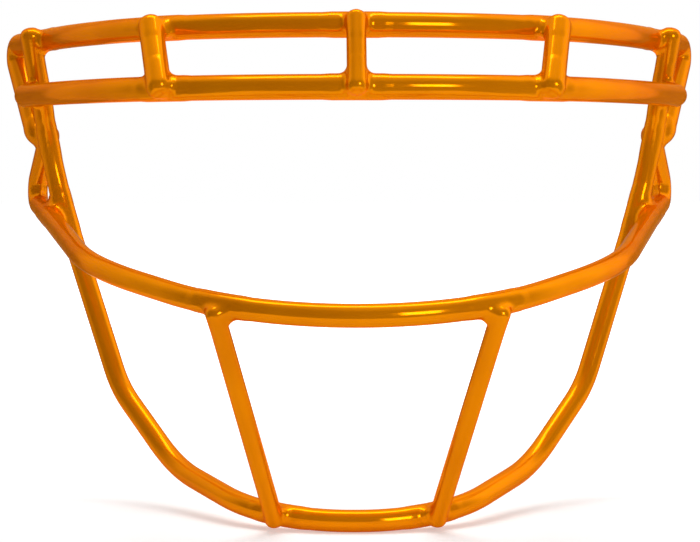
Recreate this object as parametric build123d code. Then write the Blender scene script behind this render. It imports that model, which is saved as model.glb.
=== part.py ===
from build123d import *
import os
from math import cos, sin, tan, radians

os.makedirs("parts", exist_ok=True)

# Football helmet facemask: four bent steel main wires, three brow struts and two mouth
# struts, resistance-welded where they cross and then dipped in thick orange polymer.
# X runs across the face, -Y is forward and +Z is up, with both brow wires level.
# The origin lies on the middle plane, on the axis of the lower brow wire at its front.
# Left and right are those of somebody looking at the front: left is -X, right is +X.
# Each wire is one solid of its steel core and its coat; each weld bead is a solid too.

# Wire stock
heavy_core = 6.35
medium_core = 5.7
centre_strut_core = 4.75
mouth_strut_core = 4.5
coat = 0.4
# How far a weld lets one wire settle into the next
weld_set = 1.2
strut_foot_set = 2.4
# Rounding that the coat leaves on a cut wire end, as a share of the wire's radius; the
# lower brow wire's ends are ground nearly to a dome first
end_round_share = 0.72
lower_end_round_share = 0.95
# Coat web at a weld: how far it stands off both wires and spreads past their radius,
# and the stretch of wire that is looked at around it
bead_margin = 1.1
bead_spread = 2.2
weld_reach = 14.0
# Halvings used to find a point on a wire's path
search_halvings = 40

heavy = heavy_core + 2 * coat
medium = medium_core + 2 * coat
centre_strut = centre_strut_core + 2 * coat
mouth_strut = mouth_strut_core + 2 * coat

# Brow wires: each is a front arc and a flatter side arc, joined by short straight runs
brow_gap_height = 17.85
brow_step_back = 13.3
brow_side_angle = 66.8
brow_arc_run = 6.0
brow_side_arc_radius = 200.0
upper_front_radius = 84.0
upper_front_angle = 57.0
upper_front_flat = 3.3
lower_front_radius = 86.0
lower_front_angle = 56.0
lower_front_flat = 3.6
lower_end_past_chin = 0.8

# Rear bend and leg of the upper brow wire, and its tail behind the chin wire
rear_bend_setback = 133.4
rear_bend_radius = 4.2
leg_drop = 30.6
leg_slack = 2.0
tail_bend_radius = 4.5
tail_outward = 4.5
tail_inward = 2.4

# Chin wire, from its top end on the upper brow wire down to the front of the chin
chin_on_upper_setback = 94.4
chin_on_lower_setback = 95.2
chin_top_overhang = 3.3
chin_side_bend_drop = 28.0
chin_side_bend_radius = 60.0
chin_corner_half_width = 73.5
chin_corner_setback = 84.5
chin_corner_drop = 92.5
chin_corner_radius = 29.0
chin_cheek_half_width = 54.5
chin_cheek_setback = 64.0
chin_cheek_drop = 115.0
chin_cheek_radius = 40.0
chin_front_half_width = 25.0
chin_front_setback = 20.5
chin_front_drop = 124.3
chin_front_radius = 45.0

# Mouth wire, which passes outside the chin wire and turns up at a rear elbow
mouth_crossing_drop = 37.0
mouth_side_angle = 75.0
mouth_side_rise_angle = 8.5
mouth_rear_angle = 72.0
mouth_rear_rise_angle = 11.5
mouth_side_bend_radius = 60.0
mouth_rear_run = 25.5
mouth_fore_run = 84.0
mouth_elbow_radius = 5.5
mouth_cheek_radius = 85.0
mouth_front_half_width = 30.5
mouth_front_reach = 25.0
mouth_front_drop = 61.5
mouth_front_radius = 72.0
mouth_leg_outward = 1.1
mouth_leg_back = 1.0

# Brow struts, laid on the front of both brow wires
side_strut_top_offset = 54.6
side_strut_foot_offset = 52.1
brow_strut_top_overhang = 0.1
brow_strut_foot_overhang = 4.6

# Mouth struts, laid on the front of the mouth wire and the chin wire
mouth_strut_top_offset = 39.1
mouth_strut_foot_offset = 23.8
mouth_strut_top_overhang = 2.0
mouth_strut_foot_overhang = 0.3


def unit(vector):
    return vector / vector.length


def heading(angle, rise):
    """Direction at an angle from the X axis in plan, and at a rise above level."""
    level = cos(radians(rise))
    return Vector(cos(radians(angle)) * level, sin(radians(angle)) * level, sin(radians(rise)))


def mirrored(point):
    return Vector(-point.X, point.Y, point.Z)


def rounded_end(wire, point, diameter, share):
    """Round the cut end of a wire the way a dipped coat does."""
    ends = wire.faces().sort_by(lambda face: (face.center() - point).length)
    return fillet(ends[0].edges(), share * diameter / 2)


def bent_wire(points, radii, diameter):
    """Sweep a round wire along straight runs joined by tangent bends."""
    path = FilletPolyline(*points, radius=radii) if radii else Polyline(*points)
    start = Plane(origin=path @ 0, z_dir=path % 0)
    return sweep(start * Circle(diameter / 2), path=path)


def free_ended_wire(points, radii, diameter, share=end_round_share):
    """Bent wire whose cut ends stand free and so are rounded by the coat."""
    wire = rounded_end(bent_wire(points, radii, diameter), points[0], diameter, share)
    return rounded_end(wire, points[-1], diameter, share)


def full_width(half):
    """Half a wire's points, from its end to the middle, and their mirror."""
    return [mirrored(p) for p in half] + list(reversed(half))


def both_ways(radii):
    return radii + list(reversed(radii))


def seat_between(base, laid, set_depth):
    """Distance between the axes of two crossing wires welded together."""
    return (base + laid) / 2 - set_depth


def at_width(base, corner, radius, tip, offset):
    """Point and direction of a wire near one bend, at a distance from the middle plane."""
    path = FilletPolyline(base, corner, tip, radius=[radius])
    low, high = 0.0, 1.0
    for _ in range(search_halvings):
        middle = (low + high) / 2
        if (path @ middle).X > offset:
            low = middle
        else:
            high = middle
    return path @ low, path % low


class BrowPlan:
    """Plan of one brow wire: where its bends lie and how its sides run."""

    def __init__(self, front_radius, front_angle, flat, setback, height):
        side_part_angle = brow_side_angle - front_angle
        front_reach = front_radius * tan(radians(front_angle / 2))
        side_reach = brow_side_arc_radius * tan(radians(side_part_angle / 2))
        between = Vector(cos(radians(front_angle)), sin(radians(front_angle)), 0)
        self.run = Vector(cos(radians(brow_side_angle)), sin(radians(brow_side_angle)), 0)
        self.outward = Vector(self.run.Y, -self.run.X, 0)
        self.front = Vector(flat + front_reach, setback, height)
        self.side = self.front + between * (front_reach + brow_arc_run + side_reach)
        self.radii = [brow_side_arc_radius, front_radius]
        self.arc_centre = Vector(flat, setback + front_radius, height)
        self.front_radius = front_radius

    def on_side(self, setback):
        return self.side + self.run * ((setback - self.side.Y) / self.run.Y)

    def on_front(self, offset):
        """Point on the axis of the front stretch at a distance from the middle plane."""
        across = max(offset - self.arc_centre.X, 0)
        back = (self.front_radius ** 2 - across ** 2) ** 0.5
        return Vector(offset, self.arc_centre.Y - back, self.arc_centre.Z)

    def facing(self, offset):
        """Horizontal direction that the front stretch faces at that distance."""
        across = max(offset - self.arc_centre.X, 0) / self.front_radius
        return Vector(across, -((1 - across ** 2) ** 0.5), 0)


upper = BrowPlan(upper_front_radius, upper_front_angle, upper_front_flat,
                 brow_step_back, brow_gap_height)
lower = BrowPlan(lower_front_radius, lower_front_angle, lower_front_flat, 0, 0)

# The chin wire leans from the outer side of the upper wire to the inner side of the lower
seat_heavy = seat_between(heavy, medium, weld_set)
seat_medium = seat_between(medium, medium, weld_set)
upper_at_chin = upper.on_side(chin_on_upper_setback)
lower_at_chin = lower.on_side(chin_on_lower_setback)
chin_at_upper = upper_at_chin + upper.outward * seat_heavy
chin_at_lower = lower_at_chin - lower.outward * seat_heavy
chin_lean = (chin_at_upper - chin_at_lower) / brow_gap_height


def chin_upper_at(height):
    return chin_at_lower + chin_lean * height


chin_top = chin_upper_at(brow_gap_height + chin_top_overhang)
chin_side_bend = chin_upper_at(-chin_side_bend_drop)
chin_corner = Vector(chin_corner_half_width, chin_corner_setback, -chin_corner_drop)
chin_cheek = Vector(chin_cheek_half_width, chin_cheek_setback, -chin_cheek_drop)
chin_front = Vector(chin_front_half_width, chin_front_setback, -chin_front_drop)
chin_fall = unit(chin_corner - chin_side_bend)
chin_side_wire = free_ended_wire(
    full_width([chin_top, chin_side_bend, chin_corner, chin_cheek, chin_front]),
    both_ways([chin_side_bend_radius, chin_corner_radius, chin_cheek_radius, chin_front_radius]),
    medium)

# Upper brow wire: the leg comes down from the rear bend to a short tail behind the chin wire
chin_at_tail = chin_upper_at(brow_gap_height - leg_drop)
tail_seat = chin_at_tail + Vector(0, seat_heavy, 0)
tail_end = tail_seat - Vector(tail_inward, 0, 0)
tail_corner = tail_seat + Vector(tail_outward, leg_slack, 0)
rear_corner = upper.on_side(rear_bend_setback)
brow_top_wire = free_ended_wire(
    full_width([tail_end, tail_corner, rear_corner, upper.side, upper.front]),
    both_ways([tail_bend_radius, rear_bend_radius] + upper.radii),
    heavy)

# Lower brow wire: each end stops just past the outer side of the chin wire
lower_end = lower_at_chin + lower.run * lower_end_past_chin
brow_lower_wire = free_ended_wire(
    full_width([lower_end, lower.side, lower.front]),
    both_ways(lower.radii),
    heavy, lower_end_round_share)

# Mouth wire: the side run crosses the outer face of the chin wire, and each leg's end
# butts against the underside of the upper brow wire's tail
to_crossing = (chin_side_bend.Z + mouth_crossing_drop) / -chin_fall.Z
chin_at_mouth = chin_side_bend + chin_fall * to_crossing
mouth_run = heading(mouth_side_angle, mouth_side_rise_angle)
mouth_outward = unit(chin_fall.cross(mouth_run))
mouth_at_chin = chin_at_mouth + mouth_outward * seat_medium
mouth_elbow = mouth_at_chin + heading(mouth_rear_angle, mouth_rear_rise_angle) * mouth_rear_run
mouth_cheek = mouth_at_chin - mouth_run * mouth_fore_run
mouth_front = Vector(mouth_front_half_width, -mouth_front_reach, -mouth_front_drop)
tail_over_leg = tail_seat + Vector(mouth_leg_outward, mouth_leg_back, 0)
mouth_leg_end = tail_over_leg - Vector(0, 0, heavy / 2 - weld_set)
mouth_upper_wire = bent_wire(
    full_width([mouth_leg_end, mouth_elbow, mouth_at_chin, mouth_cheek, mouth_front]),
    both_ways([mouth_elbow_radius, mouth_side_bend_radius, mouth_cheek_radius,
               mouth_front_radius]),
    medium)


class Stretch:
    """Straight stretch of wire near a weld."""

    def __init__(self, start, end, diameter):
        self.start = start
        self.end = end
        self.length = (end - start).length
        self.along = unit(end - start)
        self.diameter = diameter

    def grown(self):
        """Room that a coat web of full margin takes up around the stretch."""
        place = Plane(origin=(self.start + self.end) / 2, z_dir=self.along)
        return place * Cylinder(self.diameter / 2 + bead_margin, self.length + 2 * bead_margin)


def stretch_about(point, direction, diameter):
    reach = unit(direction) * weld_reach
    return Stretch(point - reach, point + reach, diameter)


class LaidStrut:
    """Straight strut laid on the front of two wires, from a point on each one's axis."""

    def __init__(self, top_on, foot_on, facing, seats, overhangs, diameter):
        along = unit(top_on - foot_on)
        front = unit(facing - along * facing.dot(along))
        top = top_on + front * seats[0]
        foot = foot_on + front * seats[1]
        along = unit(top - foot)
        ends = [top + along * overhangs[0], foot - along * overhangs[1]]
        self.solid = free_ended_wire(ends, [], diameter)
        self.stretch = Stretch(ends[1], ends[0], diameter)


brow_overhangs = [brow_strut_top_overhang, brow_strut_foot_overhang]
centre = LaidStrut(
    upper.on_front(0), lower.on_front(0), upper.facing(0),
    [seat_between(heavy, centre_strut, weld_set), seat_between(heavy, centre_strut, strut_foot_set)],
    brow_overhangs, centre_strut)
side = LaidStrut(
    upper.on_front(side_strut_top_offset), lower.on_front(side_strut_foot_offset),
    upper.facing(side_strut_top_offset),
    [seat_between(heavy, heavy, weld_set), seat_between(heavy, heavy, strut_foot_set)],
    brow_overhangs, heavy)

# Mouth strut, laid under the front of the mouth wire and over the front of the chin wire
mouth_over_strut, mouth_direction = at_width(mouth_cheek, mouth_front, mouth_front_radius,
                                             mirrored(mouth_front), mouth_strut_top_offset)
chin_over_strut, chin_direction = at_width(chin_cheek, chin_front, chin_front_radius,
                                           mirrored(chin_front), mouth_strut_foot_offset)
seat_mouth = seat_between(medium, mouth_strut, weld_set)
mouth = LaidStrut(
    mouth_over_strut, chin_over_strut, Vector(0, -1, 0), [seat_mouth, seat_mouth],
    [mouth_strut_top_overhang, mouth_strut_foot_overhang], mouth_strut)

# Where wires cross, the one laid on later has the seat pressed into it
chin_side_wire -= brow_top_wire + brow_lower_wire
mouth_upper_wire -= brow_top_wire
mouth_upper_wire -= chin_side_wire
centre.solid -= brow_top_wire + brow_lower_wire
side.solid -= brow_top_wire + brow_lower_wire
mouth.solid -= mouth_upper_wire
mouth.solid -= chin_side_wire


def crossing(base, laid):
    """Point midway between the axes of two stretches, where these pass closest."""
    normal = base.along.cross(laid.along)
    between = laid.start - base.start
    on_base = between.cross(laid.along).dot(normal) / normal.dot(normal)
    on_laid = between.cross(base.along).dot(normal) / normal.dot(normal)
    return (base.start + base.along * on_base + laid.start + laid.along * on_laid) / 2


def weld_bead(base, laid, wires):
    """Coat web around one weld: what lies near both stretches, less the wires themselves."""
    spread = (base.diameter + laid.diameter) / 4 + bead_spread
    bead = base.grown() & laid.grown() & Pos(*crossing(base, laid)) * Sphere(spread)
    for wire in wires:
        bead -= wire
    return bead


def level_along(facing):
    return Vector(-facing.Y, facing.X, 0)


centre_along = level_along(upper.facing(0))
side_along = level_along(upper.facing(side_strut_top_offset))
side_foot_along = level_along(lower.facing(side_strut_foot_offset))
side_top_on = upper.on_front(side_strut_top_offset)
side_foot_on = lower.on_front(side_strut_foot_offset)
parts = {
    "brow_top_wire": brow_top_wire,
    "brow_lower_wire": brow_lower_wire,
    "mouth_upper_wire": mouth_upper_wire,
    "chin_side_wire": chin_side_wire,
    "brow_strut_centre": centre.solid,
    "weld_brow_strut_centre_top": weld_bead(
        stretch_about(upper.on_front(0), centre_along, heavy), centre.stretch,
        [brow_top_wire, centre.solid]),
    "weld_brow_strut_centre_foot": weld_bead(
        stretch_about(lower.on_front(0), centre_along, heavy), centre.stretch,
        [brow_lower_wire, centre.solid]),
}

chin_at_brow = Stretch(chin_side_bend, chin_top, medium)
brow_tail = Stretch(tail_end, tail_corner, heavy)
lower_side = Stretch(lower_at_chin - lower.run * weld_reach, lower_end, heavy)
mouth_leg = Stretch(mouth_elbow, mouth_leg_end, medium)

# The tail, the chin wire and the mouth wire's leg all meet in one weld
rear_wires = [brow_top_wire, chin_side_wire, mouth_upper_wire]
rear_bead = weld_bead(brow_tail, chin_at_brow, rear_wires)
rear_bead += weld_bead(brow_tail, mouth_leg, rear_wires)
paired = {
    "brow_strut": side.solid,
    "mouth_strut": mouth.solid,
    "weld_brow_strut_top": weld_bead(
        stretch_about(side_top_on, side_along, heavy), side.stretch,
        [brow_top_wire, side.solid]),
    "weld_brow_strut_foot": weld_bead(
        stretch_about(side_foot_on, side_foot_along, heavy), side.stretch,
        [brow_lower_wire, side.solid]),
    "weld_chin_wire_to_brow_top": weld_bead(
        stretch_about(upper_at_chin, upper.run, heavy), chin_at_brow,
        [brow_top_wire, chin_side_wire]),
    "weld_chin_wire_to_brow_lower": weld_bead(
        lower_side, chin_at_brow, [brow_lower_wire, chin_side_wire]),
    "weld_rear_of_brow_chin_and_mouth_wires": rear_bead,
    "weld_mouth_wire_to_chin_wire": weld_bead(
        stretch_about(chin_at_mouth, chin_fall, medium),
        stretch_about(mouth_at_chin, mouth_run, medium), [chin_side_wire, mouth_upper_wire]),
    "weld_mouth_strut_top": weld_bead(
        stretch_about(mouth_over_strut, mouth_direction, medium), mouth.stretch,
        [mouth_upper_wire, mouth.solid]),
    "weld_mouth_strut_foot": weld_bead(
        stretch_about(chin_over_strut, chin_direction, medium), mouth.stretch,
        [chin_side_wire, mouth.solid]),
}
for name, solid in paired.items():
    parts[name + "_right"] = solid
    parts[name + "_left"] = mirror(solid, about=Plane.YZ)

for name, solid in parts.items():
    export_step(solid, "parts/" + name + ".step")
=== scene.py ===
import math
import bpy
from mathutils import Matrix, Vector


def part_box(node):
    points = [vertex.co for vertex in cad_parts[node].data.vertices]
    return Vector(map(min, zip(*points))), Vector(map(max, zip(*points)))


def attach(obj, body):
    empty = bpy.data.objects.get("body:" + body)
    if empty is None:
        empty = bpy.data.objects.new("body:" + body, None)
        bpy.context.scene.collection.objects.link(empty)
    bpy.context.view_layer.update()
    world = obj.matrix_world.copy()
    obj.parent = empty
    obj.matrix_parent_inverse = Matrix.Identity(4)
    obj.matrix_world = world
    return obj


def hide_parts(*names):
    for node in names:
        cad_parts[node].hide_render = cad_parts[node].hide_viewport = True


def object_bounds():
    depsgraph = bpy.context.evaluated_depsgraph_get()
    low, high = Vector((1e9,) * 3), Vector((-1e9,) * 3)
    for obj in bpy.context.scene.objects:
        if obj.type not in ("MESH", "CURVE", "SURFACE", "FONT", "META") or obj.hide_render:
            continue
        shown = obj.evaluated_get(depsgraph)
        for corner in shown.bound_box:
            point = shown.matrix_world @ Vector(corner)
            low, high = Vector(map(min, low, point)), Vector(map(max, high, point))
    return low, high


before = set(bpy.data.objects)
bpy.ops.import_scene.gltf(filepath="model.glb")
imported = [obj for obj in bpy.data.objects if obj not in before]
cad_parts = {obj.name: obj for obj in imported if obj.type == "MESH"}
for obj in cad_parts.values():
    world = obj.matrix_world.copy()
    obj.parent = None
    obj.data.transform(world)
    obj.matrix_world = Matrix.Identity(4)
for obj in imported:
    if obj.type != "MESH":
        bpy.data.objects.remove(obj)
cad_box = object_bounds()


# The main wires and struts
# Spring steel wire, cut to length, bent to shape and resistance-welded where it crosses,
# then heated and dipped in thick orange polymer, which flows out glossy before it sets.
def linear(hex_colour):
    """sRGB hex to the linear colour that the shader works in."""
    shares = [int(hex_colour[i:i + 2], 16) / 255 for i in (0, 2, 4)]
    return [s / 12.92 if s <= 0.04045 else ((s + 0.055) / 1.055) ** 2.4 for s in shares] + [1]


def add_node(material, kind, settings=None, inputs=None, links=None):
    """Adds a node with its settings, its sockets' values and what is linked to them."""
    made = material.node_tree.nodes.new(kind)
    for name, value in (settings or {}).items():
        setattr(made, name, value)
    for name, value in (inputs or {}).items():
        made.inputs[name].default_value = value
    for name, source in (links or {}).items():
        material.node_tree.links.new(source, made.inputs[name])
    return made


# Thick dipped polymer: a deep orange that is glossy but not mirror-like. Its gloss takes the
# coat's own orange, its tone drifts a little where the coat ran, and the skin has a fine peel.
coat = bpy.data.materials.new("dipped_orange_polymer_coat")
coat.use_nodes = True
coat.node_tree.nodes.clear()
# Sizes of its patterns in mm: where the tone drifts, where the coat ran, and the peel of its
# skin, which is drawn coarser than the real one so that it shows. The depths are in metres.
coat_mottle_mm = 32
coat_flow_mm = 14
coat_flow_depth = 0.00012
coat_peel_mm = 1.6
coat_peel_depth = 0.000006
place = add_node(coat, "ShaderNodeTexCoord").outputs["Object"]
mottle = add_node(coat, "ShaderNodeTexNoise", inputs={"Scale": 1000 / coat_mottle_mm, "Detail": 3},
                  links={"Vector": place})
tone = add_node(coat, "ShaderNodeValToRGB", links={"Fac": mottle.outputs["Fac"]})
tone.color_ramp.elements[0].position = 0.3
tone.color_ramp.elements[0].color = linear("E98300")
tone.color_ramp.elements[1].position = 0.7
tone.color_ramp.elements[1].color = linear("F79000")
flow = add_node(coat, "ShaderNodeTexNoise", inputs={"Scale": 1000 / coat_flow_mm, "Detail": 1},
                links={"Vector": place})
flow_bump = add_node(coat, "ShaderNodeBump", inputs={"Strength": 1, "Distance": coat_flow_depth},
                     links={"Height": flow.outputs["Fac"]})
peel = add_node(coat, "ShaderNodeTexNoise", inputs={"Scale": 1000 / coat_peel_mm, "Detail": 2},
                links={"Vector": place})
peel_bump = add_node(coat, "ShaderNodeBump", inputs={"Strength": 1, "Distance": coat_peel_depth},
                     links={"Height": peel.outputs["Fac"], "Normal": flow_bump.outputs["Normal"]})
gloss = add_node(coat, "ShaderNodeMapRange",
                 inputs={"From Min": 0.3, "From Max": 0.7, "To Min": 0.1, "To Max": 0.15},
                 links={"Value": mottle.outputs["Fac"]})
surface = add_node(coat, "ShaderNodeBsdfPrincipled",
                   inputs={"Metallic": 0.5, "Specular IOR Level": 0,
                           "Specular Tint": linear("FAA800"),
                           "Coat Weight": 0.04, "Coat Roughness": 0.03},
                   links={"Base Color": tone.outputs["Color"], "Roughness": gloss.outputs["Result"],
                          "Normal": peel_bump.outputs["Normal"]})
add_node(coat, "ShaderNodeOutputMaterial", links={"Surface": surface.outputs["BSDF"]})


def finish_in_coat(piece):
    """Gives a piece the coat as its one material."""
    piece.data.materials.clear()
    piece.data.materials.append(coat)


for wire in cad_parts.values():
    finish_in_coat(wire)


# Coat webs at the welds
# Where two wires cross, the wet coat gathers in the corners and sets as a smooth web with a
# rounded corner, so each joint looks cast. A web is drawn over the lengths of wire it joins:
# they are swollen by the corner's radius, fused, and shrunk back by as much.
# Sizes in metres: how far past the weld the wires are taken, what is trimmed off their cut
# ends, the radius that the coat leaves in a corner, and the grain that it is drawn with
web_reach = 0.012
web_trim = 0.0015
web_radius = 0.0018
web_radius_mouth = 0.0026
web_grain = 0.00035
web_flow_steps = 12
cut_edge_gap = 0.000002
# The web stands proud of the wires at the weld and sinks into them towards its ends
web_proud = 0.0002
web_sunk = 0.0001
web_proud_to = 0.008
web_sunk_from = 0.0125


def cut_to_box(piece, low, high):
    """Cuts a closed piece off square outside a box, and closes the cuts."""
    bpy.ops.object.select_all(action="DESELECT")
    piece.select_set(True)
    bpy.context.view_layer.objects.active = piece
    bpy.ops.object.mode_set(mode="EDIT")
    bpy.ops.mesh.select_all(action="SELECT")
    bpy.ops.mesh.remove_doubles(threshold=cut_edge_gap)
    for axis in range(3):
        for corner, outward in ((low, -1), (high, 1)):
            normal = [0, 0, 0]
            normal[axis] = outward
            bpy.ops.mesh.select_all(action="SELECT")
            bpy.ops.mesh.bisect(plane_co=corner, plane_no=normal, use_fill=True, clear_outer=True)
    bpy.ops.object.mode_set(mode="OBJECT")


def coat_web(weld, joined, radius):
    """Draws the web of one weld over short lengths of the wires that it joins."""
    low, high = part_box(weld)
    reach = Vector((web_reach,) * 3)
    lengths = []
    for name in joined:
        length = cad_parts[name].copy()
        length.data = length.data.copy()
        length.parent = None
        for key in list(length.keys()):
            del length[key]
        bpy.context.collection.objects.link(length)
        cut_to_box(length, low - reach, high + reach)
        lengths.append(length)
    bpy.ops.object.select_all(action="DESELECT")
    for length in lengths:
        length.select_set(True)
    web = lengths[0]
    bpy.context.view_layer.objects.active = web
    bpy.ops.object.join()
    for depth in (radius, -radius):
        swell = web.modifiers.new("swell", "DISPLACE")
        swell.strength = depth
        swell.mid_level = 0
        skin = web.modifiers.new("skin", "REMESH")
        skin.mode = "VOXEL"
        skin.voxel_size = web_grain
        skin.use_smooth_shade = True
    flow = web.modifiers.new("flow", "SMOOTH")
    flow.factor = 0.5
    flow.iterations = web_flow_steps
    for step in [step.name for step in web.modifiers]:
        bpy.ops.object.modifier_apply(modifier=step)
    trim = Vector((web_trim,) * 3)
    cut_to_box(web, low - reach + trim, high + reach - trim)
    centre = (low + high) / 2
    bare = [(vertex.co.copy(), vertex.normal.copy()) for vertex in web.data.vertices]
    for vertex, (place, outward) in zip(web.data.vertices, bare):
        away = ((place - centre).length - web_proud_to) / (web_sunk_from - web_proud_to)
        vertex.co = place + outward * (web_proud - (web_proud + web_sunk) * min(max(away, 0), 1))
    web.name = weld.replace("weld_", "coat_web_")
    web.data.name = web.name
    finish_in_coat(web)
    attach(web, "root")
    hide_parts(weld)


coat_web("weld_brow_strut_centre_top", ["brow_top_wire", "brow_strut_centre"], web_radius)
coat_web("weld_brow_strut_centre_foot", ["brow_lower_wire", "brow_strut_centre"], web_radius)
for side in ("_right", "_left"):
    coat_web("weld_brow_strut_top" + side, ["brow_top_wire", "brow_strut" + side], web_radius)
    coat_web("weld_brow_strut_foot" + side, ["brow_lower_wire", "brow_strut" + side], web_radius)
    coat_web("weld_chin_wire_to_brow_top" + side, ["brow_top_wire", "chin_side_wire"], web_radius)
    coat_web("weld_chin_wire_to_brow_lower" + side, ["brow_lower_wire", "chin_side_wire"],
             web_radius)
    coat_web("weld_rear_of_brow_chin_and_mouth_wires" + side,
             ["brow_top_wire", "chin_side_wire", "mouth_upper_wire"], web_radius_mouth)
    coat_web("weld_mouth_wire_to_chin_wire" + side, ["chin_side_wire", "mouth_upper_wire"],
             web_radius_mouth)
    coat_web("weld_mouth_strut_top" + side, ["mouth_upper_wire", "mouth_strut" + side],
             web_radius_mouth)
    coat_web("weld_mouth_strut_foot" + side, ["chin_side_wire", "mouth_strut" + side],
             web_radius_mouth)


# The studio
# A white paper floor under a white sky, with one broad lamp overhead, a narrow one that
# draws the bright line along the tops of the wires, and one at the front for the glints.
floor_width = 8
floor_height = cad_box[0].z
bpy.ops.object.select_all(action="DESELECT")
bpy.ops.mesh.primitive_plane_add(size=floor_width, location=(0, 0, floor_height))
floor = bpy.context.object
floor.name = "floor"
# Matt paper: soft white, with a fibre too fine to see but in its shadow. It glows white to the
# camera, and less so under the mask, where its shadow has to show.
paper = bpy.data.materials.new("matt_white_paper")
paper.use_nodes = True
paper.node_tree.nodes.clear()
paper_fibre_mm = 2.5
fibre = add_node(paper, "ShaderNodeTexNoise", inputs={"Scale": 1000 / paper_fibre_mm, "Detail": 2},
                 links={"Vector": add_node(paper, "ShaderNodeTexCoord").outputs["Object"]})
fibre_tone = add_node(paper, "ShaderNodeMapRange", inputs={"To Min": 0.78, "To Max": 0.82},
                      links={"Value": fibre.outputs["Fac"]})
paper_skin = add_node(paper, "ShaderNodeBsdfDiffuse", links={"Color": fibre_tone.outputs["Result"]})
ray = add_node(paper, "ShaderNodeLightPath").outputs
seen = add_node(paper, "ShaderNodeMath", {"operation": "ADD", "use_clamp": True},
                links={0: ray["Is Camera Ray"], 1: ray["Is Glossy Ray"]})
seen = add_node(paper, "ShaderNodeMath", {"operation": "ADD", "use_clamp": True},
                links={0: seen.outputs[0], 1: ray["Is Transmission Ray"]})
away = add_node(paper, "ShaderNodeVectorMath", {"operation": "LENGTH"},
                links={0: add_node(paper, "ShaderNodeTexCoord").outputs["Object"]})
fade = add_node(paper, "ShaderNodeMapRange",
                inputs={"From Min": 0.1, "From Max": 0.5, "To Min": 0.4, "To Max": 1},
                links={"Value": away.outputs["Value"]})
lift = add_node(paper, "ShaderNodeMath", {"operation": "MULTIPLY"},
                links={0: seen.outputs[0], 1: fade.outputs["Result"]})
glow = add_node(paper, "ShaderNodeEmission", links={"Strength": lift.outputs[0]})
both = add_node(paper, "ShaderNodeAddShader",
                links={0: paper_skin.outputs[0], 1: glow.outputs[0]})
add_node(paper, "ShaderNodeOutputMaterial", links={"Surface": both.outputs[0]})
floor.data.materials.append(paper)

# White sky: full white behind the mask and in its gloss, and a soft light on it
world = bpy.data.worlds.new("white_studio")
bpy.context.scene.world = world
world.use_nodes = True
world.node_tree.nodes.clear()
ray = add_node(world, "ShaderNodeLightPath").outputs
seen = add_node(world, "ShaderNodeMath", {"operation": "ADD", "use_clamp": True},
                links={0: ray["Is Camera Ray"], 1: ray["Is Glossy Ray"]})
seen = add_node(world, "ShaderNodeMath", {"operation": "ADD", "use_clamp": True},
                links={0: seen.outputs[0], 1: ray["Is Transmission Ray"]})
shine = add_node(world, "ShaderNodeMapRange", inputs={"To Min": 0.3, "To Max": 1},
                 links={"Value": seen.outputs[0]})
sky = add_node(world, "ShaderNodeBackground", inputs={"Color": (1, 1, 1, 1)},
               links={"Strength": shine.outputs["Result"]})
add_node(world, "ShaderNodeOutputWorld", links={"Surface": sky.outputs[0]})

# Glowing room round the table, which only the gloss shows: its walls paint the reflections on the
# coat. A hole in its floor leaves the paper free.
room_width, room_depth, room_height = 6, 7, 2
room_middle = 0.5
room_above_floor = 0.001
table_width = 0.32
bpy.ops.object.select_all(action="DESELECT")
bpy.ops.mesh.primitive_cube_add(
    size=1, scale=(room_width, room_depth, room_height),
    location=(0, room_middle, floor_height + room_height / 2 + room_above_floor))
room = bpy.context.object
room.name = "dim_room"
bpy.ops.object.transform_apply(location=True, rotation=True, scale=True)
bpy.ops.object.mode_set(mode="EDIT")
bpy.ops.mesh.select_all(action="DESELECT")
bpy.ops.object.mode_set(mode="OBJECT")
for face in room.data.polygons:
    face.select = face.normal.z < -0.9
bpy.ops.object.mode_set(mode="EDIT")
bpy.ops.mesh.inset(thickness=(room_width - table_width) / 2)
bpy.ops.mesh.delete(type="FACE")
bpy.ops.object.mode_set(mode="OBJECT")
# Glowing grey walls, a painted reflection that only the gloss sees. They are dim at the front and
# under the roof, bright at the sides, and brighter on the right. The painted light ends sharply in
# the rear corners, dark below and pale above.
wall_glow = bpy.data.materials.new("grey_glow_painted_reflections")
wall_glow.use_nodes = True
wall_glow.node_tree.nodes.clear()
way = add_node(wall_glow, "ShaderNodeVectorMath", {"operation": "NORMALIZE"},
               links={0: add_node(wall_glow, "ShaderNodeTexCoord").outputs["Object"]})
way = add_node(wall_glow, "ShaderNodeSeparateXYZ", links={0: way.outputs["Vector"]}).outputs
front = add_node(wall_glow, "ShaderNodeMapRange",
                 inputs={"From Min": 0.7, "From Max": 0.98, "To Min": 0.34, "To Max": 0.85},
                 links={"Value": way["Z"]})
rear = add_node(wall_glow, "ShaderNodeMapRange",
                inputs={"From Min": -0.4, "From Max": 0.4, "To Min": 0.95, "To Max": 1.4},
                links={"Value": way["Z"]})
turn = add_node(wall_glow, "ShaderNodeMapRange", inputs={"From Min": -0.2, "From Max": 0.2},
                links={"Value": way["Y"]})
walls = add_node(wall_glow, "ShaderNodeMix",
                 links={0: turn.outputs["Result"], 2: front.outputs["Result"],
                        3: rear.outputs["Result"]})
behind = add_node(wall_glow, "ShaderNodeMapRange", inputs={"From Min": 0.66, "From Max": 0.7},
                  links={"Value": way["Y"]})
dusk = add_node(wall_glow, "ShaderNodeMapRange",
                inputs={"From Min": 0.1, "From Max": 0.3, "To Min": 0.42, "To Max": 0.95},
                links={"Value": way["Z"]})
walls = add_node(wall_glow, "ShaderNodeMix",
                 links={0: behind.outputs["Result"], 2: walls.outputs[0],
                        3: dusk.outputs["Result"]})
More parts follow.
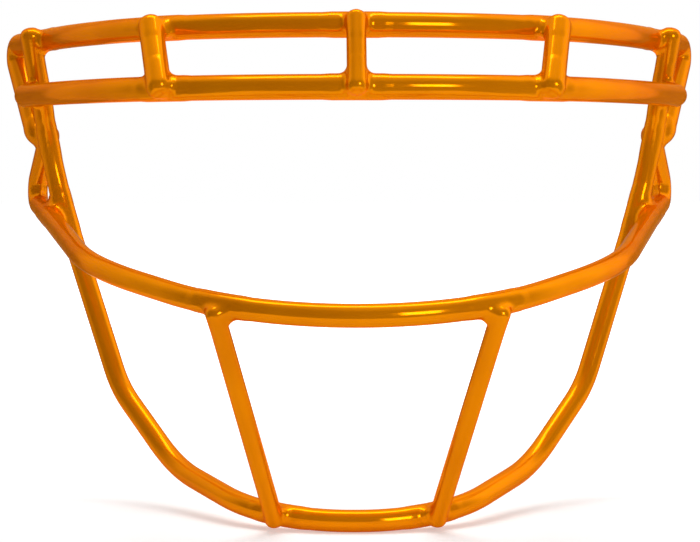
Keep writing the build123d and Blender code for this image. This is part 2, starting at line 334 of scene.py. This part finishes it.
across = add_node(wall_glow, "ShaderNodeMapRange",
                  inputs={"From Min": -1, "From Max": 1, "To Min": 0.68, "To Max": 1.25},
                  links={"Value": way["X"]})
walls = add_node(wall_glow, "ShaderNodeMath", {"operation": "MULTIPLY"},
                 links={0: walls.outputs[0], 1: across.outputs["Result"]})
dim = add_node(wall_glow, "ShaderNodeEmission", links={"Strength": walls.outputs[0]})
add_node(wall_glow, "ShaderNodeOutputMaterial", links={"Surface": dim.outputs[0]})
room.data.materials.append(wall_glow)
room.visible_camera = False
room.visible_diffuse = False
room.visible_shadow = False
room.visible_transmission = False


def softbox(name, place, aim, width, height, power):
    """A square-cornered lamp that faces a point; its power is in watts."""
    lamp = bpy.data.objects.new(name, bpy.data.lights.new(name, "AREA"))
    lamp.data.shape = "RECTANGLE"
    lamp.data.size = width
    lamp.data.size_y = height
    lamp.data.energy = power
    lamp.location = place
    lamp.rotation_euler = (Vector(aim) - Vector(place)).to_track_quat("-Z", "Y").to_euler()
    lamp.visible_camera = False
    bpy.context.collection.objects.link(lamp)
    return lamp


mask_middle = (0, 0.05, -0.05)
overhead_fill = softbox("overhead_fill", (0, 0.65, 1.3), (0, 0.65, 0), 1.5, 1.3, 11.5)
overhead_fill.visible_glossy = False
softbox("overhead_strip", (0, 0.24, 1.2), (0, 0.24, 0), 1.0, 0.4, 5)
softbox("front_strip", (0.56, -1.06, 0.16), mask_middle, 0.38, 0.5, 3.4)


# The camera
# A long lens at face height, which looks a little down on the mask. Its length in pixels is
# the one that fits the photograph, for a picture of the photograph's width.
sensor_mm = 36
lens_pixels = 2167
picture_pixels = 700
camera = bpy.data.objects.new("camera", bpy.data.cameras.new("camera"))
camera.data.sensor_width = sensor_mm
camera.data.lens = sensor_mm * lens_pixels / picture_pixels
camera.location = (-0.01085, -0.600, -0.018)
camera.rotation_euler = (math.radians(90 - 3.14), math.radians(0.067), math.radians(-0.857))
bpy.context.collection.objects.link(camera)
bpy.context.scene.camera = camera
bpy.context.scene.view_settings.view_transform = "Standard"
